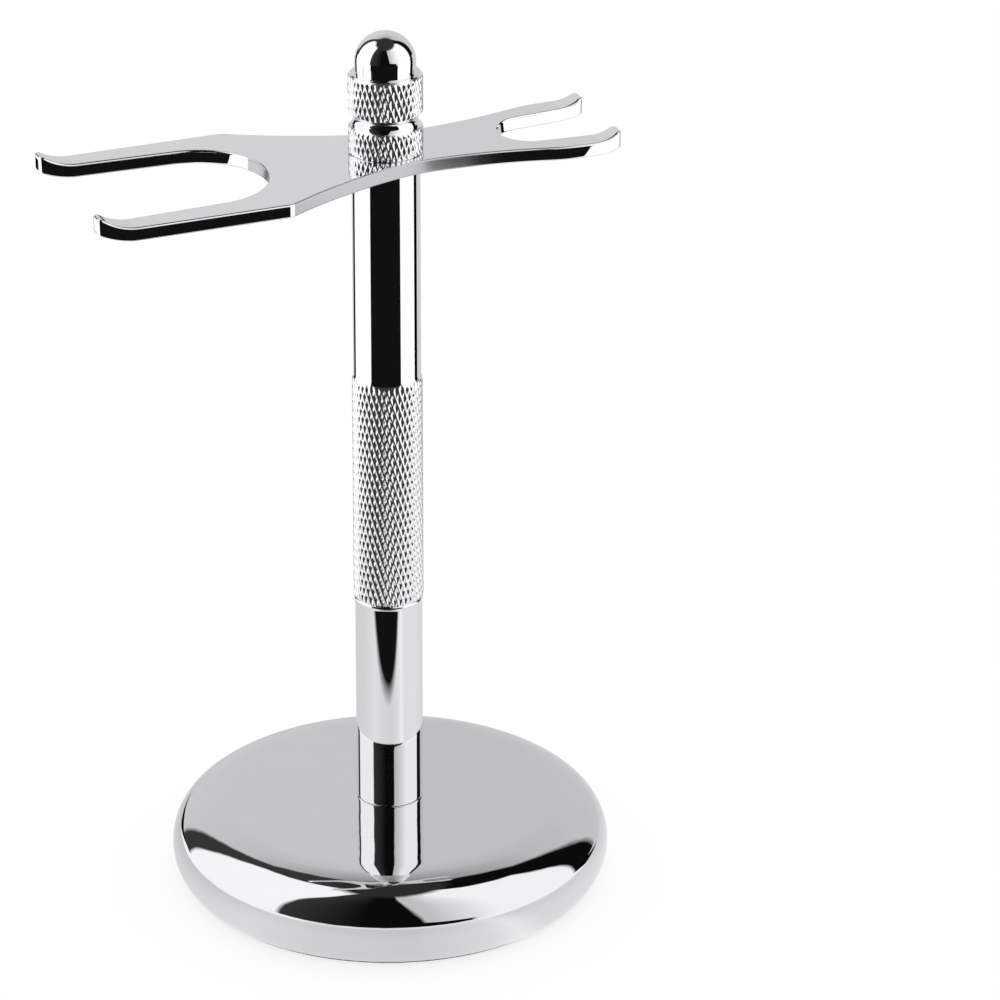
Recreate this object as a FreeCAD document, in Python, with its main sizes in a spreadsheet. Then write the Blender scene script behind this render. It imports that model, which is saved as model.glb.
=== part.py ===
"""Razor and shaving-brush stand: a weighted round base, a turned post with a knurled grip, a double
fork plate that turns on the post's top, and a knurled screw knob that clamps the plate.

Millimetres. +Z is up, z = 0 is the surface the stand rests on, and the post's axis is the Z axis.
The brush fork points along -X and the razor fork along +X.
"""
import FreeCAD, Part
import math
import os

import Sketcher

doc = FreeCAD.newDocument("razor_stand")

# ---------------------------------------------------------------- driving dimensions
SIZES = {
    # base casting
    "base_radius": 37.5,
    "base_height": 15.0,           # flat top of the base above the table
    "base_rim_z": 0.7,             # the foam pad stands proud of the metal by this much
    "rim_inset": 2.5,              # the rim lies this far inside the widest line
    "rim_lip": 0.4,                # width of metal that shows round the pad
    "shoulder_outer_radius": 7.4,  # the rounded shoulder is two tangent arcs: this one at the side
    "shoulder_top_radius": 12.0,   # and this flatter one that runs into the flat top
    "shoulder_join_angle": 39.5,   # degrees that the surface slopes where the two arcs meet
    "base_wall": 3.0,
    "side_wall": 7.0,
    "boss_wall": 6.2,
    # foam pad and its adhesive film
    "pad_thickness": 2.0,
    "film_thickness": 0.2,
    "pad_clearance": 0.2,
    "ballast_clearance": 0.3,
    # base screw and its washers
    "screw_radius": 2.5,
    "screw_grip_in_post": 7.5,
    "screw_head_radius": 4.75,
    "screw_head_height": 3.1,
    "screw_head_round": 1.4,
    "screw_head_recess": 1.2,      # gap left between the screw's head and the pad's film
    "screw_pocket_clearance": 0.8,
    "screw_hole_clearance": 0.25,
    "cross_length": 5.2,
    "cross_width": 1.1,
    "cross_depth": 1.7,
    "flat_washer_radius": 5.0,
    "flat_washer_thickness": 1.0,
    "spring_washer_radius": 4.6,
    "spring_washer_thickness": 1.2,
    "spring_washer_gap": 0.8,
    # post
    "post_radius": 5.7,
    "post_length": 116.45,         # shoulder on the base to the shoulder under the fork plate
    "post_end_chamfer": 0.25,
    "foot_spigot_radius": 4.0,
    "foot_spigot_length": 2.0,
    "foot_hole_spare": 2.0,
    "drill_point": 0.6,            # depth of a drill's point for each millimetre of its radius
    "grip_raise": 0.25,            # how far the knurl's crests stand above the shaft
    "grip_start": 37.3,            # above the post's lower shoulder
    "grip_length": 40.8,
    "grip_chamfer": 0.5,
    "pivot_shoulder": 1.7,         # ledge round the short spigot that the fork plate turns on
    "pivot_length": 1.6,
    "pivot_clearance": 0.05,
    # knob, its stud and its washer
    "stud_radius": 2.45,
    "stud_clearance": 0.05,
    "stud_grip_in_post": 14.0,
    "stud_grip_in_knob": 12.0,
    "stud_hole_spare": 2.0,
    "stud_chamfer": 0.5,
    "knob_washer_overlap": 1.0,    # how far the washer reaches past the pivot spigot
    "knob_washer_thickness": 0.6,
    "knob_washer_side_gap": 0.3,
    "knob_gap": 0.1,               # between the knob's rim and the plate
    "knob_rim_wall": 0.92,         # metal round the washer's recess, out to the knurl's crests
    "knob_rim_chamfer": 0.18,
    "lower_ring_height": 4.6,
    "neck_height": 1.9,
    "neck_depth": 0.32,            # below the small ends of the ring chamfers
    "upper_ring_height": 7.1,
    "ring_chamfer": 0.55,
    "dome_step": 0.58,             # ledge between the upper ring's chamfer and the dome
    "dome_rise": 6.9,              # above the upper ring
    # fork plate
    "plate_thickness": 2.4,
    "plate_edge_radius": 0.4,
    "waist_x": 5.5,
    "waist_half_width": 6.95,
    "waist_radius": 22.0,
    "flank_angle": 15.0,           # where the tight waist arc hands over to the long flank arc
    "brush_flank_radius": 90.0,
    "brush_shoulder_radius": 2.0,
    "brush_taper_length": 8.0,
    "brush_taper_radius": 32.0,
    "brush_slot_x": 33.3,
    "brush_slot_half_gap": 12.0,
    "brush_prong_width": 5.2,
    "brush_prong_length": 22.3,    # from the centre of the slot's round bottom to the tip
    "brush_slot_flare": 2.6,       # degrees that each side of the slot opens towards its mouth
    "brush_curl_length": 6.5,
    "brush_curl_rise": 2.35,
    "brush_under_rise": 1.5,
    "razor_shoulder_radius": 27.0,
    "razor_shoulder_setback": 6.0, # from the tip back to where the razor end is widest
    "razor_slot_x": 25.8,
    "razor_slot_half_gap": 5.6,
    "razor_prong_width": 4.9,
    "razor_prong_length": 12.4,
    "razor_slot_flare": 5.0,
    "razor_curl_length": 4.5,
    "razor_curl_rise": 1.7,
    "razor_under_rise": 0.7,
    "tip_corner_radius": 1.0,
    "cut_margin": 3.0,             # how far a cutting outline reaches past the metal
}
SAME_PLACE = 0.01                  # places nearer than this count as one

sheet = doc.addObject("Spreadsheet::Sheet", "dim")
for row, (alias, size) in enumerate(SIZES.items(), start=1):
    sheet.set(f"A{row}", alias)
    sheet.set(f"B{row}", str(size))
    sheet.setAlias(f"B{row}", alias)
doc.recompute()

# Heights and radii that follow from the driving dimensions, as expressions on the sheet.
SEAT = "(dim.pad_thickness + dim.film_thickness)"
JOIN_COS = "cos(dim.shoulder_join_angle * 1 deg)"
JOIN_SIN = "sin(dim.shoulder_join_angle * 1 deg)"
WIDEST_Z = ("(dim.base_height - dim.shoulder_outer_radius * %s"
            " - dim.shoulder_top_radius * (1 - %s))" % (JOIN_COS, JOIN_COS))
RIM_RADIUS = "(dim.base_radius - dim.rim_inset)"
PAD_SEAT_RADIUS = "(%s - dim.rim_lip)" % RIM_RADIUS
PAD_RADIUS = "(%s - dim.pad_clearance)" % PAD_SEAT_RADIUS
HOLLOW_RADIUS = "(dim.base_radius - dim.side_wall)"
POCKET_RADIUS = "(dim.flat_washer_radius + dim.screw_pocket_clearance)"
BOSS_RADIUS = "(%s + dim.boss_wall)" % POCKET_RADIUS
SCREW_HOLE_RADIUS = "(dim.screw_radius + dim.screw_hole_clearance)"
HEAD_BOTTOM = "(%s + dim.screw_head_recess)" % SEAT
HEAD_TOP = "(%s + dim.screw_head_height)" % HEAD_BOTTOM
SPRING_TOP = "(%s + dim.spring_washer_thickness)" % HEAD_TOP
SCREW_SEAT = "(%s + dim.flat_washer_thickness)" % SPRING_TOP
FOOT_END = "(dim.base_height - dim.foot_spigot_length)"
SCREW_TIP = "(%s + dim.screw_grip_in_post)" % FOOT_END
POST_TOP = "(dim.base_height + dim.post_length)"
PLATE_TOP = "(%s + dim.plate_thickness)" % POST_TOP
KNOB_BOTTOM = "(%s + dim.knob_gap)" % PLATE_TOP
RING_ONE_TOP = "(%s + dim.lower_ring_height)" % KNOB_BOTTOM
RING_TWO_BOTTOM = "(%s + dim.neck_height)" % RING_ONE_TOP
RING_TWO_TOP = "(%s + dim.upper_ring_height)" % RING_TWO_BOTTOM
KNOB_TOP = "(%s + dim.dome_rise)" % RING_TWO_TOP
PIVOT_TOP = "(%s + dim.pivot_length)" % POST_TOP
GRIP_RADIUS = "(dim.post_radius + dim.grip_raise)"
PIVOT_RADIUS = "(dim.post_radius - dim.pivot_shoulder)"
WASHER_RADIUS = "(%s + dim.knob_washer_overlap)" % PIVOT_RADIUS
RECESS_RADIUS = "(%s + dim.knob_washer_side_gap)" % WASHER_RADIUS
RING_RADIUS = "(%s + dim.knob_rim_wall)" % RECESS_RADIUS
RING_SMALL_RADIUS = "(%s - dim.ring_chamfer)" % RING_RADIUS
DOME_RADIUS = "(%s - dim.dome_step)" % RING_SMALL_RADIUS
TAPPED_RADIUS = "(dim.stud_radius + dim.stud_clearance)"
STUD_BOTTOM = "(%s - dim.stud_grip_in_post)" % PIVOT_TOP
STUD_TOP = "(%s + dim.stud_grip_in_knob)" % KNOB_BOTTOM
BRUSH_TIP_X = "(dim.brush_slot_x + dim.brush_prong_length)"
RAZOR_TIP_X = "(dim.razor_slot_x + dim.razor_prong_length)"
BRUSH_HALF_WIDTH = "(dim.brush_slot_half_gap + dim.brush_prong_width)"
RAZOR_HALF_WIDTH = "(dim.razor_slot_half_gap + dim.razor_prong_width)"
BLANK_HEIGHT = "(dim.plate_thickness + dim.brush_curl_rise + dim.razor_curl_rise)"


def number(text):
    """The value of an expression on the sheet, as a float."""
    value = sheet.evalExpression(text)
    return float(getattr(value, "Value", value))


def new_body(label):
    body = doc.addObject("PartDesign::Body", label)
    body.Label = label
    return body


def new_sketch(body, name, plane="XZ_Plane", height=None):
    """A sketch on one of the body's own origin planes, lifted by height (an expression) if given."""
    sketch = body.newObject("Sketcher::SketchObject", name)
    origin_plane = next(f for f in body.Origin.OriginFeatures if f.Role == plane)
    sketch.AttachmentSupport = [(origin_plane, "")]
    sketch.MapMode = "FlatFace"
    if height is not None:
        sketch.setExpression("AttachmentOffset.Base.z", height)
    return sketch


def bind(sketch, constraint, expression):
    """Adds a dimension to the sketch and ties it to an expression."""
    index = sketch.addConstraint(constraint)
    sketch.setExpression(f"Constraints[{index}]", expression)


def pin(sketch, edge, end, across, up):
    """Holds one end of an edge at (across, up), both expressions measured from the sketch's origin."""
    for kind, axis, text in (("DistanceX", -2, across), ("DistanceY", -1, up)):
        if abs(number(text)) < SAME_PLACE ** 2:
            sketch.addConstraint(Sketcher.Constraint("PointOnObject", edge, end, axis))
        else:
            bind(sketch, Sketcher.Constraint(kind, -1, 1, edge, end, number(text)), text)


def arc_between(start, end, radius, side):
    """Arc of the given radius from start to end; side +1 bulges left of the way travelled, -1 right."""
    chord = end - start
    half = chord.Length / 2
    left = FreeCAD.Vector(-chord.y, chord.x, 0).normalize()
    back = math.sqrt(max(radius ** 2 - half ** 2, 0.0))
    centre = (start + end) / 2 - left * (side * back)
    crown = centre + left * (side * radius)
    return Part.Arc(start, crown, end)


def closed_outline(sketch, corners):
    """Draws a closed outline. A corner is (across, up), or (across, up, radius, side) where the edge
    that arrives at it is an arc. Every corner and every radius is tied to its expression."""
    places = [FreeCAD.Vector(number(c[0]), number(c[1]), 0) for c in corners]
    ends = []
    for index, corner in enumerate(corners):
        start, end = places[index - 1], places[index]
        if len(corner) == 2:
            edge = sketch.addGeometry(Part.LineSegment(start, end), False)
            ends.append((edge, 1, 2))
            continue
        arc = arc_between(start, end, number(corner[2]), corner[3])
        edge = sketch.addGeometry(arc, False)
        # Sketcher stores every arc anticlockwise, so its first end may be our last
        first_end = sketch.getPoint(edge, 1)
        ends.append((edge, 1, 2) if first_end.distanceToPoint(start) < SAME_PLACE else (edge, 2, 1))
    for index, corner in enumerate(corners):
        edge, _, last = ends[index]
        following, first, _ = ends[(index + 1) % len(corners)]
        sketch.addConstraint(Sketcher.Constraint("Coincident", edge, last, following, first))
        pin(sketch, edge, last, corner[0], corner[1])
        if len(corner) == 4:
            bind(sketch, Sketcher.Constraint("Radius", edge, number(corner[2])), corner[2])
    return sketch


def turned(label, corners):
    """A piece turned about the Z axis from a closed outline in the XZ plane."""
    body = new_body(label)
    sketch = closed_outline(new_sketch(body, label + "_outline"), corners)
    revolution = body.newObject("PartDesign::Revolution", label + "_turned")
    revolution.Profile = sketch
    revolution.ReferenceAxis = (sketch, ["V_Axis"])
    revolution.Angle = 360
    doc.recompute()
    return body


def pocket(body, sketch, name, depth=None, both_ways=False, reverse=False):
    """Cuts the sketch out of the body, and stops the script if nothing was cut."""
    before = body.Shape.Volume
    cut = body.newObject("PartDesign::Pocket", name)
    cut.Profile = sketch
    cut.Reversed = reverse
    cut.Midplane = both_ways
    if depth is None:
        cut.Type = "ThroughAll"
    else:
        cut.setExpression("Length", depth)
    doc.recompute()
    if body.Shape.Volume >= before - SAME_PLACE:
        raise RuntimeError(name + " cut nothing")
    return cut


def edges_where(shape, wanted):
    """Names of the shape's edges for which wanted(edge) is true."""
    return [f"Edge{i}" for i, edge in enumerate(shape.Edges, start=1) if wanted(edge)]


def washer(label, outer, inner, bottom, thickness):
    top = f"({bottom} + {thickness})"
    return turned(label, [(inner, bottom), (outer, bottom), (outer, top), (inner, top)])


# ---------------------------------------------------------------- base casting
def make_base():
    """Zinc casting with a flat top and full round edge, hollow under the top round a central boss.
    The underside has a shallow seat for the pad, and the boss a pocket for the screw's head."""
    drop = f"({WIDEST_Z} - dim.base_rim_z)"
    side_radius = f"((dim.rim_inset ^ 2 + {drop} ^ 2) / (2 * dim.rim_inset))"
    join_r = f"(dim.base_radius - dim.shoulder_outer_radius * (1 - {JOIN_SIN}))"
    join_z = f"({WIDEST_Z} + dim.shoulder_outer_radius * {JOIN_COS})"
    flat_r = f"({join_r} - dim.shoulder_top_radius * {JOIN_SIN})"
    ceiling = "(dim.base_height - dim.base_wall)"
    return turned("base_casting", [
        (RIM_RADIUS, "dim.base_rim_z"),
        ("dim.base_radius", WIDEST_Z, side_radius, -1),
        (join_r, join_z, "dim.shoulder_outer_radius", -1),
        (flat_r, "dim.base_height", "dim.shoulder_top_radius", -1),
        ("dim.foot_spigot_radius", "dim.base_height"),
        ("dim.foot_spigot_radius", FOOT_END),
        (SCREW_HOLE_RADIUS, FOOT_END),
        (SCREW_HOLE_RADIUS, SCREW_SEAT),
        (POCKET_RADIUS, SCREW_SEAT),
        (POCKET_RADIUS, SEAT),
        (BOSS_RADIUS, SEAT),
        (BOSS_RADIUS, ceiling),
        (HOLLOW_RADIUS, ceiling),
        (HOLLOW_RADIUS, SEAT),
        (PAD_SEAT_RADIUS, SEAT),
        (PAD_SEAT_RADIUS, "dim.base_rim_z"),
    ])


def make_ballast():
    """Iron ring that fills the hollow of the casting and gives the stand its weight."""
    inner = f"({BOSS_RADIUS} + dim.ballast_clearance)"
    outer = f"({HOLLOW_RADIUS} - dim.ballast_clearance)"
    height = f"(dim.base_height - dim.base_wall - {SEAT})"
    return washer("ballast_ring", outer, inner, SEAT, height)


def make_pad():
    """Closed-cell foam disc that the stand rests on."""
    return turned("foam_pad", [
        ("0", "0"),
        (PAD_RADIUS, "0"),
        (PAD_RADIUS, "dim.pad_thickness"),
        ("0", "dim.pad_thickness"),
    ])


def make_film():
    """Double-sided adhesive film between the pad and the casting."""
    return turned("pad_adhesive", [
        ("0", "dim.pad_thickness"),
        (PAD_RADIUS, "dim.pad_thickness"),
        (PAD_RADIUS, SEAT),
        ("0", SEAT),
    ])


# ---------------------------------------------------------------- base screw and washers
def make_screw():
    """Pan-head machine screw driven up through the base into the post, with a cross recess."""
    body = turned("base_screw", [
        ("0", HEAD_BOTTOM),
        ("(dim.screw_head_radius - dim.screw_head_round)", HEAD_BOTTOM),
        ("dim.screw_head_radius", f"({HEAD_BOTTOM} + dim.screw_head_round)", "dim.screw_head_round", -1),
        ("dim.screw_head_radius", HEAD_TOP),
        ("dim.screw_radius", HEAD_TOP),
        ("dim.screw_radius", f"({SCREW_TIP} - dim.stud_chamfer)"),
        ("(dim.screw_radius - dim.stud_chamfer)", SCREW_TIP),
        ("0", SCREW_TIP),
    ])
    for name, across, along in (("cross_a", "dim.cross_length", "dim.cross_width"),
                                ("cross_b", "dim.cross_width", "dim.cross_length")):
        sketch = new_sketch(body, name, "XY_Plane", HEAD_BOTTOM)
        closed_outline(sketch, rectangle(across, along))
        pocket(body, sketch, name + "_recess", "dim.cross_depth", reverse=True)
    return body


def rectangle(width, depth, centre_x="0"):
    """Corners of a rectangle centred on (centre_x, 0), anticlockwise."""
    left, right = f"({centre_x} - {width} / 2)", f"({centre_x} + {width} / 2)"
    low, high = f"(-{depth} / 2)", f"({depth} / 2)"
    return [(left, low), (right, low), (right, high), (left, high)]


def make_spring_washer():
    """Split spring washer under the screw's head, closed flat by the screw."""
    body = washer("spring_washer", "dim.spring_washer_radius", SCREW_HOLE_RADIUS, HEAD_TOP,
                  "dim.spring_washer_thickness")
    sketch = new_sketch(body, "split", "XY_Plane", HEAD_TOP)
    middle = "(dim.spring_washer_radius / 2 + dim.screw_radius / 2)"
    closed_outline(sketch, rectangle("dim.spring_washer_radius", "dim.spring_washer_gap", middle))
    pocket(body, sketch, "split_cut", "dim.spring_washer_thickness", reverse=True)
    return body


def make_flat_washer():
    """Plain washer between the spring washer and the casting."""
    return washer("flat_washer", "dim.flat_washer_radius", SCREW_HOLE_RADIUS, SPRING_TOP,
                  "dim.flat_washer_thickness")


# ---------------------------------------------------------------- post
def make_post():
    """Bar turned from one piece: foot spigot, plain shaft, knurled grip, plain shaft and the pivot
    spigot for the plate, with a tapped hole in each end. The grip is its outside diameter."""
    foot = "dim.base_height"
    grip_low = f"({foot} + dim.grip_start)"
    grip_high = f"({grip_low} + dim.grip_length)"
    hole_floor = f"({STUD_BOTTOM} - dim.stud_hole_spare)"
    thread_end = f"({SCREW_TIP} + dim.foot_hole_spare)"
    return turned("post", [
        ("dim.screw_radius", FOOT_END),
        ("dim.foot_spigot_radius", FOOT_END),
        ("dim.foot_spigot_radius", foot),
        ("(dim.post_radius - dim.post_end_chamfer)", foot),
        ("dim.post_radius", f"({foot} + dim.post_end_chamfer)"),
        ("dim.post_radius", grip_low),
        (GRIP_RADIUS, f"({grip_low} + dim.grip_raise)"),
        (GRIP_RADIUS, f"({grip_high} - dim.grip_chamfer)"),
        ("dim.post_radius", f"({grip_high} + dim.grip_chamfer)"),
        ("dim.post_radius", f"({POST_TOP} - dim.post_end_chamfer)"),
        ("(dim.post_radius - dim.post_end_chamfer)", POST_TOP),
        (PIVOT_RADIUS, POST_TOP),
        (PIVOT_RADIUS, PIVOT_TOP),
        (TAPPED_RADIUS, PIVOT_TOP),
        (TAPPED_RADIUS, hole_floor),
        ("0", f"({hole_floor} - {TAPPED_RADIUS} * dim.drill_point)"),
        ("0", f"({thread_end} + dim.screw_radius * dim.drill_point)"),
        ("dim.screw_radius", thread_end),
    ])


# ---------------------------------------------------------------- fork plate
def round_edges(body, name, radius, wanted):
    """Rounds those of the body's edges that wanted() picks."""
    base = body.Tip
    fillet = body.newObject("PartDesign::Fillet", name)
    fillet.Base = (base, edges_where(base.Shape, wanted))
    fillet.setExpression("Radius", radius)
    doc.recompute()


def is_at_tip(edge):
    """True for an edge that lies in the end face of a prong."""
    box = edge.BoundBox
    ends = (-number(BRUSH_TIP_X), number(RAZOR_TIP_X))
    off_end = min(abs(box.Center.x - end) for end in ends)
    return box.XLength < SAME_PLACE and off_end < SAME_PLACE


def is_tip_corner(edge):
    """True for the upright edges at the ends of the four prongs."""
    return is_at_tip(edge) and edge.BoundBox.YLength < SAME_PLACE


def is_rim(edge):
    """True for the edges round the plate's top face and underside: not the upright ones, nor the
    pivot bore's, nor the seams across a prong where its curl begins."""
    box = edge.BoundBox
    upright = box.XLength < SAME_PLACE and box.YLength < SAME_PLACE
    reach = max(abs(box.XMin), abs(box.XMax), abs(box.YMin), abs(box.YMax))
    in_bore = reach < number(f"{PIVOT_RADIUS} + 2 * dim.pivot_clearance")
    seam = box.XLength < SAME_PLACE and box.ZLength < SAME_PLACE and not is_at_tip(edge)
    return not (upright or in_bore or seam)


def plate_contour():
    """Half of the plate's outer edge (y >= 0), closed along the X axis, anticlockwise from the razor
    tip. Each arc's end is where it meets the next arc or line smoothly."""
    # razor side: flank arc tangent to the waist, then the shoulder arc that runs to the tip. The
    # flank's radius is the one that makes the two arcs meet smoothly.
    shoulder_x = f"({RAZOR_TIP_X} - dim.razor_shoulder_setback)"
    widening = f"({RAZOR_HALF_WIDTH} - dim.waist_half_width)"
    run = f"({shoulder_x} - dim.waist_x)"
    reach = f"(({run} ^ 2 + {widening} ^ 2) / (2 * {widening}))"
    flank_radius = f"({reach} - dim.razor_shoulder_radius)"
    flank_up = f"(dim.waist_half_width + {flank_radius})"
    razor_join_x = f"(dim.waist_x + {run} * {flank_radius} / {reach})"
    razor_join_y = f"({flank_up} - ({reach} - {widening}) * {flank_radius} / {reach})"
    razor_tip_y = (f"({RAZOR_HALF_WIDTH} - dim.razor_shoulder_radius"
                   " + sqrt(dim.razor_shoulder_radius ^ 2 - dim.razor_shoulder_setback ^ 2))")
    # brush side: tight waist arc, long flank arc, small shoulder arc, straight side, tapered tip
    turn_sin, turn_cos = "sin(dim.flank_angle * 1 deg)", "cos(dim.flank_angle * 1 deg)"
    hand_x = f"(dim.waist_x - dim.waist_radius * {turn_sin})"
    hand_y = f"(dim.waist_half_width + dim.waist_radius * (1 - {turn_cos}))"
    centre_x = f"({hand_x} + dim.brush_flank_radius * {turn_sin})"
    centre_y = f"({hand_y} + dim.brush_flank_radius * {turn_cos})"
    corner_y = f"({BRUSH_HALF_WIDTH} - dim.brush_shoulder_radius)"
    span = "(dim.brush_flank_radius + dim.brush_shoulder_radius)"
    corner_x = f"({centre_x} - sqrt({span} ^ 2 - ({centre_y} - {corner_y}) ^ 2))"
    brush_join_x = f"({centre_x} + ({corner_x} - {centre_x}) * dim.brush_flank_radius / {span})"
    brush_join_y = f"({centre_y} + ({corner_y} - {centre_y}) * dim.brush_flank_radius / {span})"
    taper_x = f"(dim.brush_taper_length - {BRUSH_TIP_X})"
    brush_tip_y = (f"({BRUSH_HALF_WIDTH} - dim.brush_taper_radius"
                   " + sqrt(dim.brush_taper_radius ^ 2 - dim.brush_taper_length ^ 2))")
    return [
        (RAZOR_TIP_X, "0"),
        (RAZOR_TIP_X, razor_tip_y),
        (razor_join_x, razor_join_y, "dim.razor_shoulder_radius", -1),
        ("dim.waist_x", "dim.waist_half_width", flank_radius, 1),
        (hand_x, hand_y, "dim.waist_radius", 1),
        (brush_join_x, brush_join_y, "dim.brush_flank_radius", 1),
        (corner_x, BRUSH_HALF_WIDTH, "dim.brush_shoulder_radius", -1),
        (taper_x, BRUSH_HALF_WIDTH),
        (f"(-{BRUSH_TIP_X})", brush_tip_y, "dim.brush_taper_radius", -1),
        (f"(-{BRUSH_TIP_X})", "0"),
    ]


def slot_corners(sign, slot_x, half_gap, flare, tip_x):
    """A fork slot: a round bottom between two sides that open out past the tip. sign is the way the
    fork points along X."""
    flare_sin, flare_cos = f"sin({flare} * 1 deg)", f"cos({flare} * 1 deg)"
    far = f"({tip_x} + dim.cut_margin)"
    touch_x = f"({slot_x} - {half_gap} * {flare_sin})"
    touch_y = f"({half_gap} * {flare_cos})"
    mouth_y = f"({touch_y} + ({far} - {touch_x}) * {flare_sin} / {flare_cos})"
    return [
        (f"({sign} * {far})", f"(-{mouth_y})"),
        (f"({sign} * {touch_x})", f"(-{touch_y})"),
        (f"({sign} * {touch_x})", touch_y, half_gap, sign),
        (f"({sign} * {far})", mouth_y),
    ]


def tip_profile(level, brush_rise, razor_rise, closing):
    """Side view of one face of the plate: flat at level, with both tips curling up on an arc that is
    tangent to the flat. It is closed at the height given by closing."""
    def arc_radius(length, rise):
        return f"(({length} ^ 2 + {rise} ^ 2) / (2 * {rise}))"

    brush, razor = "dim.brush_curl_length", "dim.razor_curl_length"
    brush_high, razor_high = f"({level} + {brush_rise})", f"({level} + {razor_rise})"
    brush_end = f"(-{BRUSH_TIP_X} - dim.cut_margin)"
    razor_end = f"({RAZOR_TIP_X} + dim.cut_margin)"
    return [
        (brush_end, brush_high),
        (f"(-{BRUSH_TIP_X})", brush_high),
        (f"({brush} - {BRUSH_TIP_X})", level, arc_radius(brush, brush_rise), -1),
        (f"({RAZOR_TIP_X} - {razor})", level),
        (RAZOR_TIP_X, razor_high, arc_radius(razor, razor_rise), -1),
        (razor_end, razor_high),
        (razor_end, closing),
        (brush_end, closing),
    ]


def make_plate():
    """Cast fork plate: a wide slot for a brush, a narrow one for a razor, and tips that curl up."""
    body = new_body("fork_plate")
    blank = body.newObject("PartDesign::Pad", "half_blank")
    blank.Profile = closed_outline(new_sketch(body, "contour", "XY_Plane", POST_TOP),
                                   plate_contour())
    blank.setExpression("Length", BLANK_HEIGHT)
    doc.recompute()
    whole = body.newObject("PartDesign::Mirrored", "whole_blank")
    whole.Originals = [blank]
    whole.MirrorPlane = (next(f for f in body.Origin.OriginFeatures if f.Role == "XZ_Plane"), [""])
    body.Tip = whole
    doc.recompute()
    if abs(body.Shape.Volume - 2 * blank.Shape.Volume) > SAME_PLACE * blank.Shape.Volume:
        raise RuntimeError("the plate's blank was not mirrored")

    for sign, side, tip_x in ((-1, "brush", BRUSH_TIP_X), (1, "razor", RAZOR_TIP_X)):
        sketch = new_sketch(body, side + "_slot", "XY_Plane", POST_TOP)
        corners = slot_corners(sign, f"dim.{side}_slot_x", f"dim.{side}_slot_half_gap",
                               f"dim.{side}_slot_flare", tip_x)
        pocket(body, closed_outline(sketch, corners), side + "_slot_cut", reverse=True)

    above = f"({POST_TOP} + {BLANK_HEIGHT} + dim.cut_margin)"
    below = f"({POST_TOP} - dim.cut_margin)"
    faces = (
        ("top_face", PLATE_TOP, "dim.brush_curl_rise", "dim.razor_curl_rise", above),
        ("under_face", POST_TOP, "dim.brush_under_rise", "dim.razor_under_rise", below),
    )
    for name, level, brush_rise, razor_rise, closing in faces:
        sketch = new_sketch(body, name)
        closed_outline(sketch, tip_profile(level, brush_rise, razor_rise, closing))
        pocket(body, sketch, name + "_cut", both_ways=True)

    bore = new_sketch(body, "pivot_bore", "XY_Plane", POST_TOP)
    bore_radius = f"({PIVOT_RADIUS} + dim.pivot_clearance)"
    circle = bore.addGeometry(Part.Circle(FreeCAD.Vector(0, 0, 0), FreeCAD.Vector(0, 0, 1),
                                          number(bore_radius)), False)
    bore.addConstraint(Sketcher.Constraint("Coincident", circle, 3, -1, 1))
    bind(bore, Sketcher.Constraint("Radius", circle, number(bore_radius)), bore_radius)
    pocket(body, bore, "pivot_bore_cut", reverse=True)

    round_edges(body, "tip_corners", "dim.tip_corner_radius", is_tip_corner)
    round_edges(body, "rim", "dim.plate_edge_radius", is_rim)
    return body


# ---------------------------------------------------------------- knob
def make_knob_washer():
    """Nylon washer in the knob's underside, which keeps the knob off the plate's plating."""
    return washer("knob_washer", WASHER_RADIUS, TAPPED_RADIUS, PLATE_TOP,
                  "dim.knob_washer_thickness")


def make_stud():
    """Headless threaded stud fixed in the knob, which screws into the post through the plate."""
    narrow = "(dim.stud_radius - dim.stud_chamfer)"
    return turned("knob_stud", [
        ("0", STUD_BOTTOM),
        (narrow, STUD_BOTTOM),
        ("dim.stud_radius", f"({STUD_BOTTOM} + dim.stud_chamfer)"),
        ("dim.stud_radius", STUD_TOP),
        ("0", STUD_TOP),
    ])


def make_knob():
    """Turned knob: two knurled rings with a hollow neck between them, under a polished dome. The
    dome is a short cylinder that ends in a half sphere."""
    recess_top = f"({PLATE_TOP} + dim.knob_washer_thickness)"
    rim_r = f"({RING_RADIUS} - dim.knob_rim_chamfer)"
    # the neck's groove is one arc through both ring edges and the neck's deepest point
    groove = "((dim.neck_depth ^ 2 + dim.neck_height ^ 2 / 4) / (2 * dim.neck_depth))"
    return turned("finial_knob", [
        ("dim.stud_radius", recess_top),
        (RECESS_RADIUS, recess_top),
        (RECESS_RADIUS, KNOB_BOTTOM),
        (rim_r, KNOB_BOTTOM),
        (RING_RADIUS, f"({KNOB_BOTTOM} + dim.knob_rim_chamfer)"),
        (RING_RADIUS, f"({RING_ONE_TOP} - dim.ring_chamfer)"),
        (RING_SMALL_RADIUS, RING_ONE_TOP),
        (RING_SMALL_RADIUS, RING_TWO_BOTTOM, groove, 1),
        (RING_RADIUS, f"({RING_TWO_BOTTOM} + dim.ring_chamfer)"),
        (RING_RADIUS, f"({RING_TWO_TOP} - dim.ring_chamfer)"),
        (RING_SMALL_RADIUS, RING_TWO_TOP),
        (DOME_RADIUS, RING_TWO_TOP),
        (DOME_RADIUS, f"({KNOB_TOP} - {DOME_RADIUS})"),
        ("0", KNOB_TOP, DOME_RADIUS, -1),
        ("0", STUD_TOP),
        ("dim.stud_radius", STUD_TOP),
    ])


# ---------------------------------------------------------------- build, check and write
PIECES = [
    make_base(),
    make_ballast(),
    make_pad(),
    make_film(),
    make_screw(),
    make_spring_washer(),
    make_flat_washer(),
    make_post(),
    make_plate(),
    make_knob_washer(),
    make_stud(),
    make_knob(),
]
doc.recompute()

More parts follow.
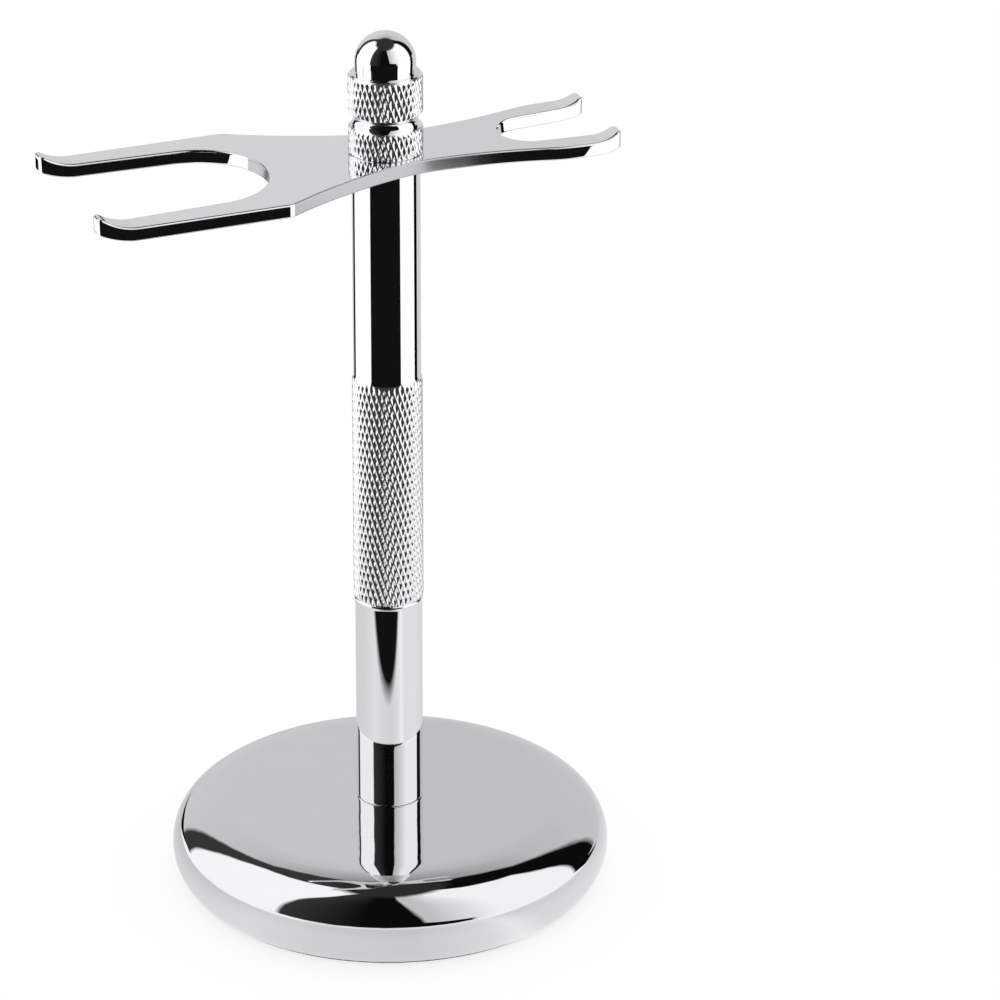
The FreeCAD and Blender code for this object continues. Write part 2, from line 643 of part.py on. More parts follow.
for item in doc.Objects:
    if "Invalid" in item.State or "Error" in item.State:
        raise RuntimeError(f"{item.Label} failed to compute: {item.State}")
for piece in PIECES:
    if piece.Shape.isNull() or not piece.Shape.isValid() or len(piece.Shape.Solids) != 1:
        raise RuntimeError(f"{piece.Label} is not one valid solid")

os.makedirs("parts", exist_ok=True)
for piece in PIECES:
    piece.Shape.exportStep(f"parts/{piece.Label}.step")
    box = piece.Shape.optimalBoundingBox(False, False)
    print(f"{piece.Label:16s} {piece.Shape.Volume:10.1f} mm3   z {box.ZMin:7.2f} to {box.ZMax:7.2f}")
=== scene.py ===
import bmesh
import bpy
import numpy as np
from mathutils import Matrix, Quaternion, Vector


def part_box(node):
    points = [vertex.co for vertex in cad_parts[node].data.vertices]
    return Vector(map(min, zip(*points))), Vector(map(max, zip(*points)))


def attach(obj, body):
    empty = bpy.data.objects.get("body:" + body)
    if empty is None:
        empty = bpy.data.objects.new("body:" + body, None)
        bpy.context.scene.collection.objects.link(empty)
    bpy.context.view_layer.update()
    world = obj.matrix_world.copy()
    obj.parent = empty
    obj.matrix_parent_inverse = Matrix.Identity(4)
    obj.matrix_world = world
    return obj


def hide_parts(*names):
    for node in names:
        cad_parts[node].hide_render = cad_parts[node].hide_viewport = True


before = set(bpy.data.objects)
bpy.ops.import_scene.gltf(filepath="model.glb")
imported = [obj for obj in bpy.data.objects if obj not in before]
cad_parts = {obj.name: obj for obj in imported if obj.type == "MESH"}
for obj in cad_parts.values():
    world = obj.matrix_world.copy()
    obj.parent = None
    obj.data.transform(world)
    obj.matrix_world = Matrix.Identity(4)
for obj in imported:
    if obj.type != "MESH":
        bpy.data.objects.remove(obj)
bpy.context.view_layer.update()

# ---------------------------------------------------------------- camera
# A long lens, a little above the fork, looking down at the stand from the front left.
CAMERA_PLACE = Vector((-0.3673, -0.9523, 0.5345))
CAMERA_AIM = Vector((0.0216, 0.0, 0.0666))
CAMERA_LENS = 238.93
CAMERA_SHIFT = -0.0065
CAMERA_ROLL = 0.0015

camera = bpy.data.objects.new("camera", bpy.data.cameras.new("camera"))
bpy.context.scene.collection.objects.link(camera)
camera.location = CAMERA_PLACE
camera.rotation_mode = "QUATERNION"
look = (CAMERA_AIM - CAMERA_PLACE).to_track_quat("-Z", "Y")
camera.rotation_quaternion = look @ Quaternion((0, 0, 1), CAMERA_ROLL)
camera.data.lens = CAMERA_LENS
camera.data.sensor_width = 36
camera.data.shift_x = CAMERA_SHIFT
camera.data.clip_start, camera.data.clip_end = 0.01, 20
bpy.context.scene.camera = camera
bpy.context.scene.view_settings.view_transform = "Standard"


# ---------------------------------------------------------------- studio light
# What the chrome mirrors: a big softbox at each side, the dark room between them in front, and a grey
# back beyond two dark stands. Everything that isn't a mirror gets plain white light.
class Wire:
    """One socket of a node tree. Sums, products and comparisons of wires and numbers add Math nodes."""

    def __init__(self, tree, socket):
        self.tree = tree
        self.socket = socket

    def math(self, operation, first, second=0.0):
        """A Math node of two values, each a wire or a number, in this wire's tree."""
        node = self.tree.nodes.new("ShaderNodeMath")
        node.operation = operation
        for socket, value in zip(node.inputs, (first, second)):
            feed(self.tree, socket, value)
        return Wire(self.tree, node.outputs[0])

    def __add__(self, other):
        return self.math("ADD", self, other)

    def __sub__(self, other):
        return self.math("SUBTRACT", self, other)

    def __rsub__(self, other):
        return self.math("SUBTRACT", other, self)

    def __mul__(self, other):
        return self.math("MULTIPLY", self, other)

    def __truediv__(self, other):
        return self.math("DIVIDE", self, other)

    def __gt__(self, other):
        return self.math("GREATER_THAN", self, other)

    def __lt__(self, other):
        return self.math("LESS_THAN", self, other)

    __radd__ = __add__
    __rmul__ = __mul__


def feed(tree, socket, value):
    """Links a wire to a socket, or sets the socket to a plain value."""
    if isinstance(value, Wire):
        tree.links.new(value.socket, socket)
    else:
        socket.default_value = value


class Shader:
    """A node tree that is empty at first, and gets its nodes one by one."""

    def __init__(self, tree):
        self.tree = tree
        tree.nodes.clear()

    def add(self, kind, settings=None, sockets=None, output=0):
        """Any node. settings are its properties or a ramp's stops; sockets its inputs, by name or place."""
        node = self.tree.nodes.new("ShaderNode" + kind)
        for name, value in (settings or {}).items():
            if name != "stops":
                setattr(node, name, value)
                continue
            ramp = node.color_ramp
            while len(ramp.elements) < len(value):
                ramp.elements.new(1.0)
            for element, (place, shade) in zip(ramp.elements, value):
                element.position = place
                element.color = (*shade, 1)
        for name, value in (sockets or {}).items():
            feed(self.tree, node.inputs[name], value)
        return Wire(self.tree, node.outputs[output]) if len(node.outputs) else None

    def blend(self, share, first, second):
        """The colour that goes from first to second as share goes from 0 to 1."""
        return self.add("Mix", {"data_type": "RGBA"}, {0: share, 6: first, 7: second}, output=2)

    def split(self, wire):
        """The three components of a vector, as wires."""
        node = self.tree.nodes.new("ShaderNodeSeparateXYZ")
        feed(self.tree, node.inputs[0], wire)
        return [Wire(self.tree, socket) for socket in node.outputs]


def climb(shader, value, start, span):
    """0 up to start and 1 from start + span on, straight between them. A negative span runs down."""
    return shader.add("Clamp", sockets={"Value": (value - start) / span})


def soft(shader, value, edge, width):
    """Goes from 0 to 1 as the value passes an edge, over a width."""
    return climb(shader, value, edge - width / 2, width)


def greys(shader, value, stops):
    """A ramp of plain greys, from (place, grey) pairs."""
    stops = [(place, (grey,) * 3) for place, grey in stops]
    return shader.add("ValToRGB", {"stops": stops}, {"Fac": value})


# directions seen from the stand, level with it: towards the camera, and to the camera's right
TO_CAMERA = Vector((CAMERA_PLACE.x, CAMERA_PLACE.y)).normalized()
TO_RIGHT = Vector((-TO_CAMERA.y, TO_CAMERA.x))
# angles are in degrees: round from the camera, rightwards, and up from the horizon
ROOM_LEFT, ROOM_RIGHT = -59.0, 19.0        # the dark room's sides
ROOM_LEAN = 0.15                           # its right side leans in by this much a degree of height
LOW_FROM, LOW_OVER, LOW_SPREAD = 5.0, 5.0, 24.0        # and is wider near the horizon
LEFT_BOX_END, RIGHT_BOX_END = -126.5, 108.0
HIGH_FROM, HIGH_OVER, HIGH_SPREAD = 55.0, 20.0, 20.0   # the dark stands spread both ways high up
BACK_LEFT, BACK_RIGHT = -141.0, 131.5      # the grey back; the dark stands lie between it and the boxes
NARROW_EDGE, EDGE, WIDE_EDGE = 2.5, 3.0, 5.0
BOX_LIGHT = 1.12
RIGHT_FROM, RIGHT_OVER, RIGHT_LIGHT, RIGHT_GAIN = 22.0, 35.0, 0.66, 0.46   # dimmer at its front edge
GLOW_FROM, GLOW_OVER, ROOM_GLOW, ROOM_DARK = -15.0, -45.0, 0.04, 0.004     # a faint glow on the left
BACK_TONES = ((0.0, 0.67), (0.35, 0.655), (0.52, 0.61), (0.64, 0.47), (0.76, 0.33), (0.9, 0.2))
STUDIO_TINT = (0.985, 0.995, 1.0, 1)


def bearing(shader, x, y):
    """Angle round the stand from the camera, how far towards the camera, and how far to its right."""
    forward = x * TO_CAMERA.x + y * TO_CAMERA.y
    sideways = x * TO_RIGHT.x + y * TO_RIGHT.y
    return forward.math("ARCTAN2", sideways, forward) * np.degrees(1.0), forward, sideways


world = bpy.data.worlds.new("studio")
bpy.context.scene.world = world
world.use_nodes = True
sky = Shader(world.node_tree)
x, y, z = sky.split(sky.add("TexCoord"))
angle, _, _ = bearing(sky, x, y)
height = z.math("ARCSINE", z) * np.degrees(1.0)
spread = climb(sky, height, HIGH_FROM, HIGH_OVER) * HIGH_SPREAD
low = (1 - climb(sky, height, LOW_FROM, LOW_OVER)) * LOW_SPREAD
left_box = (soft(sky, angle - spread, LEFT_BOX_END, NARROW_EDGE)
            * (1 - soft(sky, angle, ROOM_LEFT, EDGE)))
right_box = (soft(sky, angle + height * ROOM_LEAN - low, ROOM_RIGHT, EDGE)
             * (1 - soft(sky, angle + spread, RIGHT_BOX_END, EDGE)))
right_light = climb(sky, angle, RIGHT_FROM, RIGHT_OVER) * RIGHT_GAIN + RIGHT_LIGHT
back = 1 - (soft(sky, angle + spread, BACK_LEFT, EDGE)
            * (1 - soft(sky, angle - spread, BACK_RIGHT, WIDE_EDGE)))
back_light = greys(sky, height / 90.0, BACK_TONES)
room_glow = climb(sky, angle, GLOW_FROM, GLOW_OVER) * ROOM_GLOW + ROOM_DARK
mirrored = left_box * BOX_LIGHT + right_box * right_light + back * back_light + room_glow
in_mirror = sky.add("LightPath", output="Is Glossy Ray")
light = in_mirror * mirrored + (1 - in_mirror)
sky.add("OutputWorld", sockets={0: sky.add("Background", sockets={0: STUDIO_TINT, 1: light})})


# ---------------------------------------------------------------- black cards
# Two sheets of black card that only mirrors see: one lies just above the table in front of the stand,
# and a small round one hangs over it. They give the base and the dome their dark reflections.
def card(name, corners, level, shade, glow):
    """A flat staged sheet; shade(shader, x, y) says where it covers."""
    mesh = bpy.data.meshes.new(name)
    mesh.from_pydata([(x, y, level) for x, y in corners], [], [tuple(range(len(corners)))])
    sheet = bpy.data.objects.new(name, mesh)
    bpy.context.scene.collection.objects.link(sheet)
    sheet.visible_camera = sheet.visible_diffuse = False
    sheet.visible_shadow = sheet.visible_transmission = False
    material = bpy.data.materials.new(name)
    material.use_nodes = True
    shader = Shader(material.node_tree)
    x, y, _ = shader.split(shader.add("TexCoord", output="Object"))
    cover = shade(shader, x, y)
    black = shader.add("Emission", sockets={0: (1, 1, 1, 1), 1: glow})
    shader.add("OutputMaterial", sockets={0: shader.add("MixShader", sockets={
        0: cover, 1: shader.add("BsdfTransparent"), 2: black})})
    mesh.materials.append(material)


def between(value, low, high):
    """1 where the wire lies between two numbers, 0 elsewhere."""
    return (value > low) * (value < high)


def distance(x, y):
    """How far a point lies from the middle, in plan."""
    return x.math("SQRT", x * x + y * y)


CARD_EDGE, CARD_FADE = 0.0675, 0.010       # distance in front of the stand's axis, in metres
CARD_SLANT, CARD_BOW, CARD_BOW_REACH = 0.12, 6.0, 0.05
CARD_LEFT, CARD_RIGHT, CARD_LEVEL, CARD_GLOW = -55.4, 46.7, 0.0085, 0.006
OVERHEAD_RADIUS, OVERHEAD_LEVEL, OVERHEAD_FORWARD = 0.088, 0.29, 0.012
OVERHEAD_FADE, OVERHEAD_GLOW, OVERHEAD_CORNERS = 0.022, 0.03, 64


def front_card(shader, x, y):
    """A sector from a near edge outwards, seen from above only. The edge draws away from the stand on
    the right, by a slant and a square term."""
    angle, forward, sideways = bearing(shader, x, y)
    right = shader.add("Clamp", sockets={"Value": sideways, "Max": CARD_BOW_REACH})
    edge = right * CARD_SLANT + right * right * CARD_BOW + CARD_EDGE
    near = climb(shader, forward, edge - CARD_FADE, CARD_FADE)
    below = shader.add("NewGeometry", output="Backfacing")
    return near * between(angle, CARD_LEFT, CARD_RIGHT) * (1 - below)


def overhead_card(shader, x, y):
    """A disc that fades out at its rim."""
    away = distance(x - overhead_middle.x, y - overhead_middle.y)
    return climb(shader, away, OVERHEAD_RADIUS, -OVERHEAD_FADE)


FLOOR_REACH = 6.0
far_corners = [(-FLOOR_REACH, -FLOOR_REACH), (FLOOR_REACH, -FLOOR_REACH),
               (FLOOR_REACH, FLOOR_REACH), (-FLOOR_REACH, FLOOR_REACH)]
card("front_card", far_corners, CARD_LEVEL, front_card, CARD_GLOW)
overhead_middle = TO_CAMERA * OVERHEAD_FORWARD
turns = np.linspace(0, 2 * np.pi, OVERHEAD_CORNERS, endpoint=False)
overhead = [(overhead_middle.x + OVERHEAD_RADIUS * np.cos(turn),
             overhead_middle.y + OVERHEAD_RADIUS * np.sin(turn)) for turn in turns]
card("overhead_card", overhead, OVERHEAD_LEVEL, overhead_card, OVERHEAD_GLOW)


# ---------------------------------------------------------------- floor
# A white table. Seen directly it is plain white paper; in the chrome it shows the light that falls on
# it: streaks round the stand, a paler far part, and dark where the stands are.
PAPER_GLOW, PAPER_TONE = 0.76, (0.26, 0.26, 0.26, 1)
NEAR_LIGHT, NEAR_DROP, DROP_FROM, DROP_OVER = 0.88, 0.06, 0.045, 0.02
FAR_FROM, FAR_FADE = 0.135, 0.04
FAR_LIGHT, FAR_GAIN, GAIN_ANGLE, GAIN_FADE = 0.92, 0.22, 41.0, 8.0
LEFT_STAND, RIGHT_STAND, BEHIND_LIGHT = (-149.0, -132.0), (105.5, 122.0), 0.68
STREAKS = ((0.0, 0.80), (0.25, 0.88), (0.37, 1.0), (0.44, 0.90), (0.52, 0.86), (0.585, 1.0),
           (0.61, 1.16), (0.64, 0.98), (0.76, 1.0), (1.0, 0.82))

floor_mesh = bpy.data.meshes.new("floor")
floor_mesh.from_pydata([(x, y, 0) for x, y in far_corners], [], [(0, 1, 2, 3)])
floor = bpy.data.objects.new("floor", floor_mesh)
bpy.context.scene.collection.objects.link(floor)
table = bpy.data.materials.new("white_table")
table.use_nodes = True
top = Shader(table.node_tree)
x, y, _ = top.split(top.add("TexCoord", output="Object"))
angle, _, _ = bearing(top, x, y)
turned = angle.math("ABSOLUTE", angle)
away = distance(x, y)
near_light = NEAR_LIGHT - climb(top, away, DROP_FROM, DROP_OVER) * NEAR_DROP
streaks = greys(top, angle / 360.0 + 0.5, STREAKS)
far = soft(top, away, FAR_FROM, FAR_FADE)
far_light = soft(top, turned, GAIN_ANGLE, GAIN_FADE) * FAR_GAIN + FAR_LIGHT
stands = between(angle, *LEFT_STAND) + between(angle, *RIGHT_STAND)
behind = (angle > RIGHT_STAND[1]) + (angle < LEFT_STAND[0])
far_light = (far_light * (1 - behind) + behind * BEHIND_LIGHT) * (1 - stands)
light = near_light * streaks * (1 - far) + far_light * far
glow = top.add("Emission", sockets={0: STUDIO_TINT, 1: light})
paper = top.add("AddShader", sockets={
    0: top.add("Emission", sockets={0: (1, 1, 1, 1), 1: PAPER_GLOW}),
    1: top.add("BsdfDiffuse", sockets={0: PAPER_TONE})})
in_mirror = top.add("LightPath", output="Is Glossy Ray")
above = top.add("MixShader", sockets={0: in_mirror, 1: paper, 2: glow})
below = top.add("NewGeometry", output="Backfacing")
top.add("OutputMaterial", sockets={0: top.add("MixShader", sockets={
    0: below, 1: above, 2: top.add("BsdfTransparent")})})
floor_mesh.materials.append(table)


# ---------------------------------------------------------------- base casting
# A zinc die casting with a flat top, a full round edge and a shallow seat underneath for the pad,
# polished and chrome plated. It is turned here as one closed section.
def arc(centre, radius, start, end, steps):
    """Points (r, z) on a circle in a section, from one angle to another in degrees."""
    turn = np.radians(np.linspace(start, end, steps))
    return np.stack([centre[0] + radius * np.cos(turn), centre[1] + radius * np.sin(turn)], axis=1)


def lathe(section, columns, radius_change=None):
    """Turns a section (r, z) about Z: x = r cos(turn), y = r sin(turn). radius_change(turn, z, r)
    gives each point's own radius where the surface isn't plain."""
    turn = np.linspace(0, 2 * np.pi, columns, endpoint=False)[None, :]
    radius, level = section[:, 0:1], section[:, 1:2]
    if radius_change is not None:
        radius = radius_change(turn, level, radius)
    shape = np.broadcast_shapes(radius.shape, turn.shape)
    return np.stack([radius * np.cos(turn), radius * np.sin(turn),
                     np.broadcast_to(level, shape)], axis=2)


def skin(name, grids, sharp=35.0, shape_attribute=None):
    """Makes one closed mesh from grids of points (rows, columns, 3). A grid is (points, wrap_rows,
    wrap_columns, flip). Neighbouring points make quads, and points that coincide are joined."""
    points, faces, start = [], [], 0
    for grid, wrap_rows, wrap_columns, flip in grids:
        rows, columns = grid.shape[:2]
        index = start + np.arange(rows * columns).reshape(rows, columns)
        if wrap_rows:
            index = np.vstack([index, index[:1]])
        if wrap_columns:
            index = np.hstack([index, index[:, :1]])
        quads = np.stack([index[:-1, :-1], index[:-1, 1:], index[1:, 1:], index[1:, :-1]], axis=2)
        quads = quads.reshape(-1, 4)
        faces.append(quads[:, ::-1] if flip else quads)
        points.append(grid.reshape(-1, 3))
        start += rows * columns
    mesh = bpy.data.meshes.new(name)
    mesh.from_pydata(np.vstack(points), [], np.vstack(faces))
    if shape_attribute is not None:
        layer = mesh.attributes.new("pit", "FLOAT", "POINT")
        layer.data.foreach_set("value", shape_attribute.astype(np.float32).ravel())
    cleaner = bmesh.new()
    cleaner.from_mesh(mesh)
    bmesh.ops.remove_doubles(cleaner, verts=cleaner.verts, dist=2e-7)
    bmesh.ops.dissolve_degenerate(cleaner, edges=cleaner.edges, dist=1e-8)
    bmesh.ops.recalc_face_normals(cleaner, faces=cleaner.faces)
    cleaner.to_mesh(mesh)
    cleaner.free()
    mesh.shade_smooth()
    mesh.set_sharp_from_angle(angle=np.radians(sharp))
    piece = bpy.data.objects.new(name, mesh)
    bpy.context.scene.collection.objects.link(piece)
    return piece


def new_material(name):
    """A material with an empty shader and its object coordinates."""
    material = bpy.data.materials.new(name)
    material.use_nodes = True
    shader = Shader(material.node_tree)
    return material, shader, shader.add("TexCoord", output="Object")


PLATE_TINT = np.array([0.0, 0.004, 0.010])      # chrome is faintly blue
RIPPLE_TINT = np.array([-0.020, -0.012, -0.004])
# The knurl's near-white tone is painted light that makes its ridges read white; the pit tone is painted
# shade in the knurl's pits; the satin tone is painted shade on the waist walls.
KNURL_LIT_TONE, PIT_SHADE_TONE, WAIST_SHADE_TONE = (0.97, 0.975, 0.98, 1), (0.04, 0.04, 0.045, 1), (0.52, 0.53, 0.54, 1)
KNURL_ROUGH, SATIN_ROUGH = 0.18, 0.27


def chrome(name, tone=0.90, ripple_depth=5e-6, knurled=False, satin_and_shade=None):
    """Polished chrome plate: almost a mirror, with a faint ripple in the plating and fine polishing marks.
    A knurl is duller, its colour is raised towards white as painted light, and its pits are darkened as
    painted shade. The last argument, a function of (shader, place), marks a less polished part, whose
    colour it also darkens as painted shade."""
    material, shader, place = new_material(name)
    ripple = shader.add("TexNoise", sockets={"Vector": place, "Scale": 140.0, "Detail": 2.0})
    marks = shader.add("TexNoise", sockets={"Vector": place, "Scale": 2600.0, "Detail": 3.0})
    rough = marks * 0.022 + 0.01
    colour = shader.blend(ripple, (*(tone + RIPPLE_TINT), 1), (*(tone + PLATE_TINT), 1))
    if knurled:
        pit = shader.add("Attribute", {"attribute_name": "pit"}, output="Fac")
        on_knurl = pit > 0.05
        rough = rough + on_knurl * KNURL_ROUGH
        # painted light: the knurl's colour is raised towards white so that its ridges read white
        colour = shader.blend(on_knurl, colour, KNURL_LIT_TONE)
        # painted shade: the bottoms of the pits are darkened towards black
        pit_shade = soft(shader, pit, 0.90, 0.20)
        colour = shader.blend(pit_shade * 0.95, colour, PIT_SHADE_TONE)
    if satin_and_shade is not None:
        dull_and_shade = satin_and_shade(shader, place)
        rough = rough + dull_and_shade * SATIN_ROUGH
        # painted shade: the less polished part's colour is also darkened to grey
        colour = shader.blend(dull_and_shade, colour, WAIST_SHADE_TONE)
    normal = shader.add("Bump", sockets={"Strength": 1.0, "Distance": ripple_depth, "Height": ripple})
    metal = shader.add("BsdfPrincipled", sockets={"Base Color": colour, "Metallic": 1.0,
                                                 "Roughness": rough, "Normal": normal})
    shader.add("OutputMaterial", sockets={0: metal})
    return material


MM = 0.001
base_low, base_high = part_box("base_casting")
BASE_RADIUS, BASE_TOP, RIM_LEVEL = base_high.x / MM, base_high.z / MM, base_low.z / MM
SHOULDER_OUTER, SHOULDER_TOP, SHOULDER_JOIN = 7.4, 12.0, 39.5
RIM_INSET, RIM_LIP, SIDE_WALL = 2.5, 0.4, 7.0
SEAT_LEVEL, CEILING_DROP, BOSS_RADIUS = 2.2, 3.0, 12.0
POCKET_RADIUS, POCKET_LEVEL, HOLE_RADIUS = 5.8, 8.7, 2.75
SPIGOT_RADIUS, SPIGOT_DEPTH = 4.0, 2.0
TOP_RINGS = (27.0, 22.0, 14.0, 8.0, 5.0)   # radii of the rows across the flat top

join = np.radians(SHOULDER_JOIN)
widest_level = BASE_TOP - SHOULDER_OUTER * np.cos(join) - SHOULDER_TOP * (1 - np.cos(join))
drop = widest_level - RIM_LEVEL
side_radius = (RIM_INSET ** 2 + drop ** 2) / (2 * RIM_INSET)
side_sweep = np.degrees(np.arcsin(drop / side_radius))
flat_radius = BASE_RADIUS - SHOULDER_OUTER * (1 - np.sin(join)) - SHOULDER_TOP * np.sin(join)
ceiling = BASE_TOP - CEILING_DROP
base_section = np.vstack([
    arc((BASE_RADIUS - side_radius, widest_level), side_radius, -side_sweep, 0, 24),
    arc((BASE_RADIUS - SHOULDER_OUTER, widest_level), SHOULDER_OUTER, 0, 90 - SHOULDER_JOIN, 30)[1:],
    arc((flat_radius, BASE_TOP - SHOULDER_TOP), SHOULDER_TOP, 90 - SHOULDER_JOIN, 90, 30)[1:],
    [(radius, BASE_TOP) for radius in (*TOP_RINGS, SPIGOT_RADIUS)],
    [(SPIGOT_RADIUS, BASE_TOP - SPIGOT_DEPTH), (HOLE_RADIUS, BASE_TOP - SPIGOT_DEPTH),
     (HOLE_RADIUS, POCKET_LEVEL), (POCKET_RADIUS, POCKET_LEVEL), (POCKET_RADIUS, SEAT_LEVEL),
     (BOSS_RADIUS, SEAT_LEVEL), (BOSS_RADIUS, ceiling), (BASE_RADIUS - SIDE_WALL, ceiling),
     (BASE_RADIUS - SIDE_WALL, SEAT_LEVEL), (BASE_RADIUS - RIM_INSET - RIM_LIP, SEAT_LEVEL),
     (BASE_RADIUS - RIM_INSET - RIM_LIP, RIM_LEVEL)]])
BASE_COLUMNS = 288
base = skin("round_base", [(lathe(base_section, BASE_COLUMNS) * MM, True, True, False)])
base.data.materials.append(chrome("chrome_base", tone=0.785, ripple_depth=3.5e-5))
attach(base, "stand")
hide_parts("base_casting")


# ---------------------------------------------------------------- post
# Brass bar turned from one piece, with a diamond knurl rolled into the grip and a short pivot spigot
# on top for the fork plate, chrome plated. The knurl is two sets of ridges that cross.
KNURL_PITCH_Z = 2.85           # height of one diamond
KNURL_STEPS = 10               # points along one diamond, both ways
KNURL_DEPTH = 0.30
FIRST_SET, SECOND_SET = 1.08, 0.82     # how high the two sets of ridges stand, 1 being the crest
CREST_VALUE = 0.2              # the attribute's value on a crest
HOLE_LIMIT = 0.8               # what lies inside this share of the crest radius isn't knurled


def ridges(turn, level, starts):
    """How far each point lies below the crests, 0 to 1. Each set of ridges is a triangle wave across
    a helix, the first set is cut off flat and the second is lower, and the higher of the two counts."""
    across = starts * turn / (2 * np.pi)
    up = level / KNURL_PITCH_Z
    heights = [1 - 2 * np.abs(phase - np.round(phase)) for phase in (across + up, across - up)]
    return 1 - np.maximum(np.minimum(heights[0] * FIRST_SET, 1), heights[1] * SECOND_SET)


def in_zones(level, zones):
    """Which heights lie inside one of the zones (low, high)."""
    inside = np.zeros_like(level, dtype=bool)
    for low, high in zones:
        inside |= (level > low) & (level < high)
    return inside


def knurled(name, section, starts, crest, zones):
    """A turned piece that is, inside the zones of height, the lower of its plain section and the knurled
    cylinder. Its attribute "pit" is 0 where it is smooth and 1 at the bottom of a pit. The chrome reads it
    to paint shade into the pits and to lighten the knurl."""
    def knurl(turn, level, radius):
        """The radius with the ridges cut in, except in the piece's holes, which are well inside."""
        inside = in_zones(level, zones) & (radius > crest * HOLE_LIMIT)
        cut = crest - KNURL_DEPTH * ridges(turn, level, starts)
        return np.where(inside, np.minimum(radius, cut), radius + 0 * turn)

    columns = starts * KNURL_STEPS
    turn = np.linspace(0, 2 * np.pi, columns, endpoint=False)[None, :]
    level = section[:, 1:2]
    pits = (CREST_VALUE + (1 - CREST_VALUE) * ridges(turn, level, starts)) * in_zones(level, zones)
    return skin(name, [(lathe(section, columns, knurl) * MM, False, True, False)], shape_attribute=pits)


def upright(radius, low, high, step):
    """Points up a straight wall, about one step apart."""
    levels = np.linspace(low, high, max(2, int(round((high - low) / step)) + 1))
    return np.stack([np.full_like(levels, radius), levels], axis=1)


post_low, post_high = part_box("post")
POST_FOOT, POST_TOP = post_low.z / MM + SPIGOT_DEPTH, post_high.z / MM
POST_RADIUS, GRIP_RADIUS = 5.7, post_high.x / MM
GRIP_START, GRIP_LENGTH, GRIP_STARTS = 37.3, 40.8, 37
LIP_RADIUS, LIP_HEIGHT = 5.84, 0.55
PIVOT_RADIUS, PIVOT_LENGTH, TAPPED_RADIUS = 4.0, 1.6, 2.5
SCREW_RADIUS, FOOT_HOLE_TOP, TOP_HOLE_FLOOR, DRILL_POINT = 2.5, 22.5, 117.05, 0.6
CHAMFER, PIVOT_CHAMFER, LIP_ROUND, GRIP_BEVEL, PLAIN_STEP = 0.25, 0.15, 0.14, 0.42, 9.0
LIP_ROWS = (0.6, 0.3, 0.12)            # rows below the lip, which keep its shading off the plain wall
LIP_CORNER = (0.08, 0.12)              # inset and drop of the lip's top corner
BEVEL_FOOT, BEVEL_ROWS = 0.03, (0.6, 1.0)              # and the rows above the grip's bevel
RUN_IN, RUN_OUT = 0.4, 0.5             # from the lip to the first knurled row, and from the last to the top

grip_low, grip_high = POST_FOOT + GRIP_START, POST_FOOT + GRIP_START + GRIP_LENGTH
lip_top, shoulder = grip_low + LIP_HEIGHT, POST_TOP - PIVOT_LENGTH
knurl_step = KNURL_PITCH_Z / KNURL_STEPS
post_section = np.vstack([
    [(0, FOOT_HOLE_TOP + SCREW_RADIUS * DRILL_POINT), (SCREW_RADIUS, FOOT_HOLE_TOP),
     (SCREW_RADIUS, POST_FOOT - SPIGOT_DEPTH), (SPIGOT_RADIUS, POST_FOOT - SPIGOT_DEPTH),
     (SPIGOT_RADIUS, POST_FOOT), (POST_RADIUS - CHAMFER, POST_FOOT)],
    arc((POST_RADIUS - CHAMFER, POST_FOOT + CHAMFER), CHAMFER, -60, 0, 4),
    upright(POST_RADIUS, POST_FOOT + 2 * CHAMFER, grip_low - LIP_ROWS[0], PLAIN_STEP),
    [(POST_RADIUS, grip_low - below) for below in LIP_ROWS[1:]],
    arc((LIP_RADIUS - LIP_ROUND, grip_low + LIP_ROUND), LIP_ROUND, -75, 0, 4),
    [(LIP_RADIUS, lip_top - LIP_CORNER[1]), (LIP_RADIUS - LIP_CORNER[0], lip_top),
     (GRIP_RADIUS - KNURL_DEPTH, lip_top + 0.05)],
    upright(GRIP_RADIUS, lip_top + RUN_IN, grip_high - RUN_OUT, knurl_step),
    [(GRIP_RADIUS - CHAMFER / 2, grip_high), (POST_RADIUS + BEVEL_FOOT, grip_high + GRIP_BEVEL),
     (POST_RADIUS, grip_high + BEVEL_ROWS[0])],
    upright(POST_RADIUS, grip_high + BEVEL_ROWS[1], shoulder - 2 * CHAMFER, PLAIN_STEP),
    arc((POST_RADIUS - CHAMFER, shoulder - CHAMFER), CHAMFER, 0, 60, 4),
    [(POST_RADIUS - CHAMFER, shoulder), (PIVOT_RADIUS, shoulder),
     (PIVOT_RADIUS, POST_TOP - PIVOT_CHAMFER), (PIVOT_RADIUS - PIVOT_CHAMFER, POST_TOP),
     (TAPPED_RADIUS, POST_TOP), (TAPPED_RADIUS, TOP_HOLE_FLOOR),
     (0, TOP_HOLE_FLOOR - TAPPED_RADIUS * DRILL_POINT)]])
grip_zone = [(lip_top + RUN_IN / 2, grip_high + 0.3)]
post = knurled("post_and_grip", post_section, GRIP_STARTS, GRIP_RADIUS, grip_zone)
post.data.materials.append(chrome("chrome_post", knurled=True))
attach(post, "stand")
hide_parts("post")


